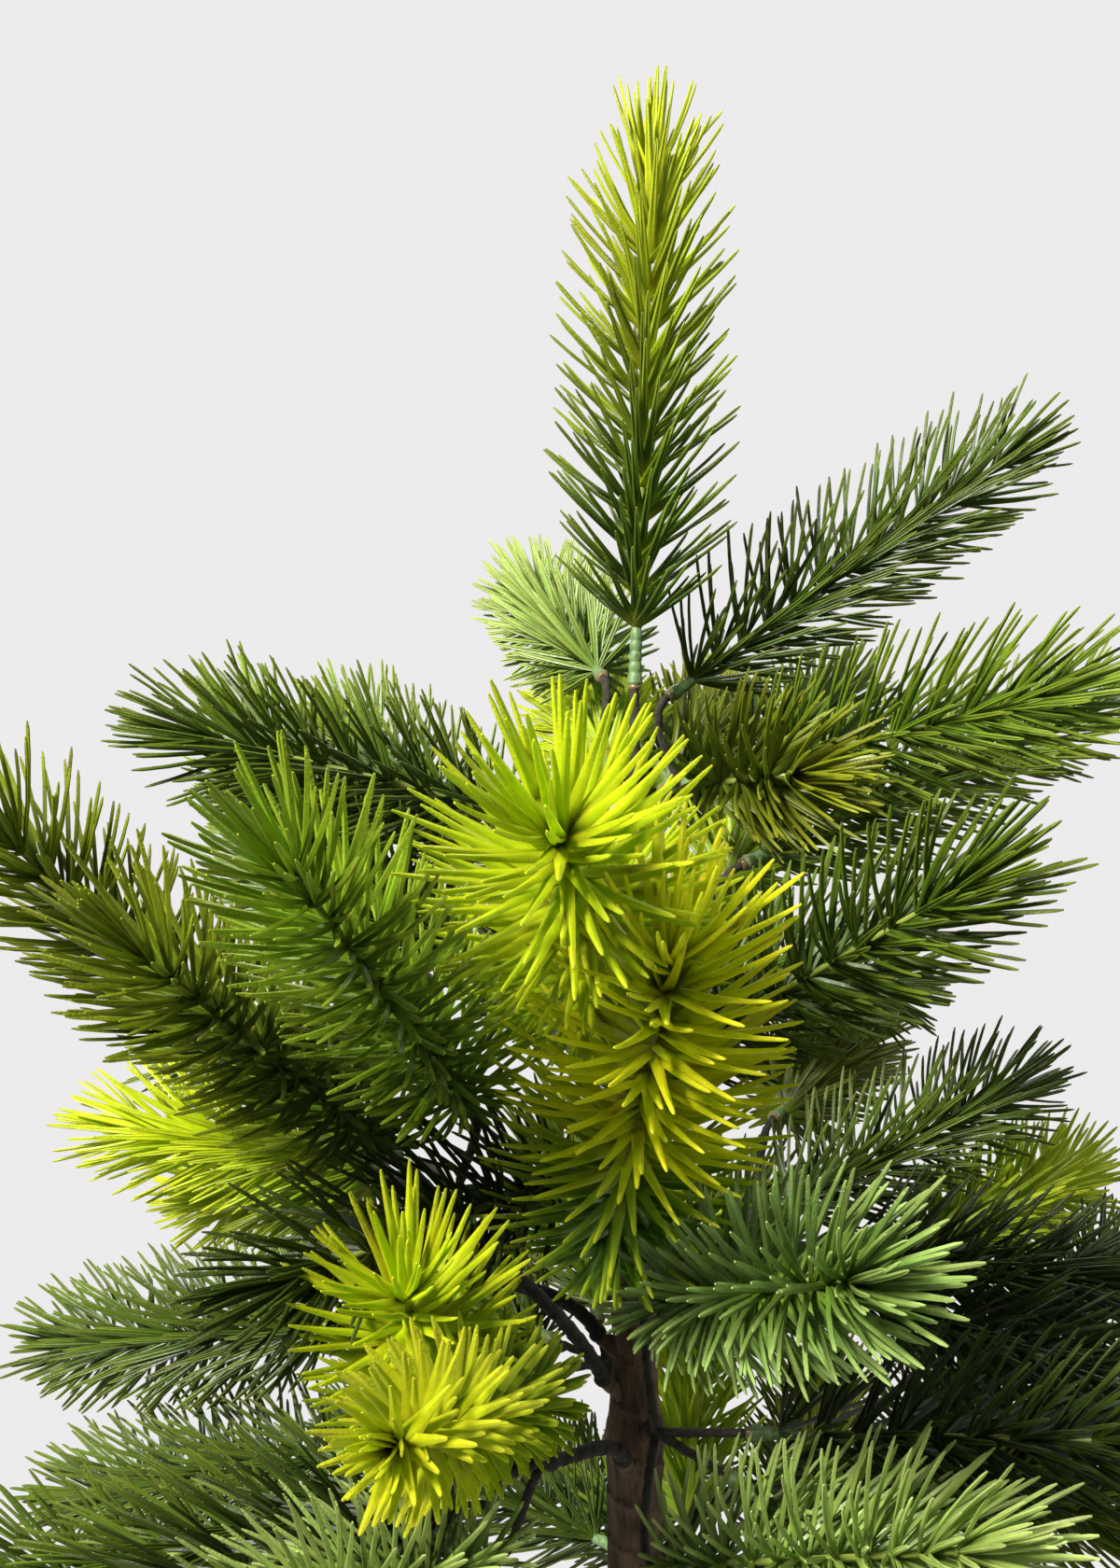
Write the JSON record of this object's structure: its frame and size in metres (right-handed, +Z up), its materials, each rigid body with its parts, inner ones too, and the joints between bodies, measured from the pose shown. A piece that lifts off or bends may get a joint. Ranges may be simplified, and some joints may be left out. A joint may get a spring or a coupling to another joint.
{
  "type": "artificial tabletop tree",
  "caption": "Small artificial spruce with bendable taped wire branches, ribbed-collar needle sprigs, an upright leader and a round weighted pot.",
  "frame": {"origin": "centre of the base pad's underside, on the surface that the tree stands on", "axes": "+Z up along the trunk towards the leader, -Y towards the front of the tree, +X to its right as seen from the front"},
  "size_m": [0.3602, 0.3481, 0.5932],
  "materials": {
    "needles": null,
    "stem_tape": "dark paper tape wound on wire, matt",
    "trunk_tape": "dark brown crepe paper tape, matt, fibrous",
    "rod_steel": "plain drawn steel",
    "pot_shell": "matt moulded plastic",
    "cement": "cast cement, rough",
    "moss": "loose dyed moss fibre",
    "pad_rubber": "foamed rubber, matt"
  },
  "bodies": {
    "trunk": {"pot": "pot_shell", "base_pad": "pad_rubber", "cast_weight": "cement", "moss_cover": "moss", "trunk_rod": "rod_steel", "trunk_wrap": "trunk_tape"},
    "crown_right": {"crown_right_stem": "stem_tape", "crown_right_sprig_1": "needles", "crown_right_sprig_2": "needles", "crown_right_sprig_3": "needles"},
    "crown_left": {"crown_left_stem": "stem_tape", "crown_left_sprig_1": "needles", "crown_left_sprig_2": "needles", "crown_left_sprig_3": "needles"},
    "front_high": {"front_high_stem": "stem_tape", "front_high_sprig_1": "needles", "front_high_sprig_2": "needles", "front_high_sprig_3": "needles"},
    "right_high": {"right_high_stem": "stem_tape", "right_high_sprig_1": "needles", "right_high_sprig_2": "needles", "right_high_sprig_3": "needles"},
    "right_mid": {"right_mid_stem": "stem_tape", "right_mid_sprig_1": "needles", "right_mid_sprig_2": "needles", "right_mid_sprig_3": "needles"},
    "left_high": {"left_high_stem": "stem_tape", "left_high_sprig_1": "needles", "left_high_sprig_2": "needles", "left_high_sprig_3": "needles"},
    "left_front": {"left_front_stem": "stem_tape", "left_front_sprig_1": "needles", "left_front_sprig_2": "needles", "left_front_sprig_3": "needles"},
    "left_mid": {"left_mid_stem": "stem_tape", "left_mid_sprig_1": "needles", "left_mid_sprig_2": "needles", "left_mid_sprig_3": "needles"},
    "left_low": {"left_low_stem": "stem_tape", "left_low_sprig_1": "needles", "left_low_sprig_2": "needles", "left_low_sprig_3": "needles"},
    "front_left": {"front_left_stem": "stem_tape", "front_left_sprig_1": "needles", "front_left_sprig_2": "needles", "front_left_sprig_3": "needles"},
    "front_right": {"front_right_stem": "stem_tape", "front_right_sprig_1": "needles", "front_right_sprig_2": "needles"},
    "right_low": {"right_low_stem": "stem_tape", "right_low_sprig_1": "needles", "right_low_sprig_2": "needles"},
    "back_mid": {"back_mid_stem": "stem_tape", "back_mid_sprig_1": "needles", "back_mid_sprig_2": "needles"},
    "back_low": {"back_low_stem": "stem_tape", "back_low_sprig_1": "needles", "back_low_sprig_2": "needles"},
    "leader": {"leader_stem": "stem_tape", "leader_sprig": "needles"}
  },
  "joints": [
    {"name": "crown_right_bend", "type": "hinge", "parent": "trunk", "child": "crown_right", "pos_m": [0.00559, 0.00322, 0.40571], "axis": [0.5, -0.866, 0], "range_deg": [-5, 15]},
    {"name": "crown_left_bend", "type": "hinge", "parent": "trunk", "child": "crown_left", "pos_m": [-0.00519, 0.00436, 0.38099], "axis": [0.6428, 0.766, 0], "range_deg": [-15, 5]},
    {"name": "front_high_bend", "type": "hinge", "parent": "trunk", "child": "front_high", "pos_m": [0, -0.00777, 0.30682], "axis": [-1, 0, 0], "range_deg": [-30, 25]},
    {"name": "right_high_bend", "type": "hinge", "parent": "trunk", "child": "right_high", "pos_m": [0.00693, 0.00186, 0.35132], "axis": [0.2588, -0.9659, 0], "range_deg": [-30, 10]},
    {"name": "right_mid_bend", "type": "hinge", "parent": "trunk", "child": "right_mid", "pos_m": [0.0083, 0.00479, 0.28034], "axis": [0.5, -0.866, 0], "range_deg": [-30, 20]},
    {"name": "left_high_bend", "type": "hinge", "parent": "trunk", "child": "left_high", "pos_m": [-0.00712, 0.00191, 0.33649], "axis": [0.2588, 0.9659, 0], "range_deg": [-20, 5]},
    {"name": "left_front_bend", "type": "hinge", "parent": "trunk", "child": "left_front", "pos_m": [-0.00831, -0.00582, 0.26082], "axis": [-0.5736, 0.8192, 0], "range_deg": [-30, 10]},
    {"name": "left_mid_bend", "type": "hinge", "parent": "trunk", "child": "left_mid", "pos_m": [-0.00958, 0.00033, 0.27034], "axis": [0.0349, 0.9994, 0], "range_deg": [-5, 20]},
    {"name": "left_low_bend", "type": "hinge", "parent": "trunk", "child": "left_low", "pos_m": [-0.01124, -0.00098, 0.19977], "axis": [-0.0872, 0.9962, 0], "range_deg": [-30, 10]},
    {"name": "front_left_bend", "type": "hinge", "parent": "trunk", "child": "front_left", "pos_m": [-0.00349, -0.01073, 0.24177], "axis": [-0.9511, 0.309, 0], "range_deg": [-30, 10]},
    {"name": "front_right_bend", "type": "hinge", "parent": "trunk", "child": "front_right", "pos_m": [0.00423, -0.01046, 0.24977], "axis": [-0.9272, -0.3746, 0], "range_deg": [-30, 10]},
    {"name": "right_low_bend", "type": "hinge", "parent": "trunk", "child": "right_low", "pos_m": [0.01111, 0.00196, 0.21477], "axis": [0.1736, -0.9848, 0], "range_deg": [-25, 5]},
    {"name": "back_mid_bend", "type": "hinge", "parent": "trunk", "child": "back_mid", "pos_m": [0, 0.01128, 0.24977], "axis": [1, 0, 0], "range_deg": [-10, 30]},
    {"name": "back_low_bend", "type": "hinge", "parent": "trunk", "child": "back_low", "pos_m": [0.00098, 0.01124, 0.18977], "axis": [0.9962, -0.0872, 0], "range_deg": [-30, 10]},
    {"name": "leader_bend", "type": "hinge", "parent": "trunk", "child": "leader", "pos_m": [0, 0, 0.408], "axis": [0, 1, 0], "range_deg": [-20, 15]}
  ]
}
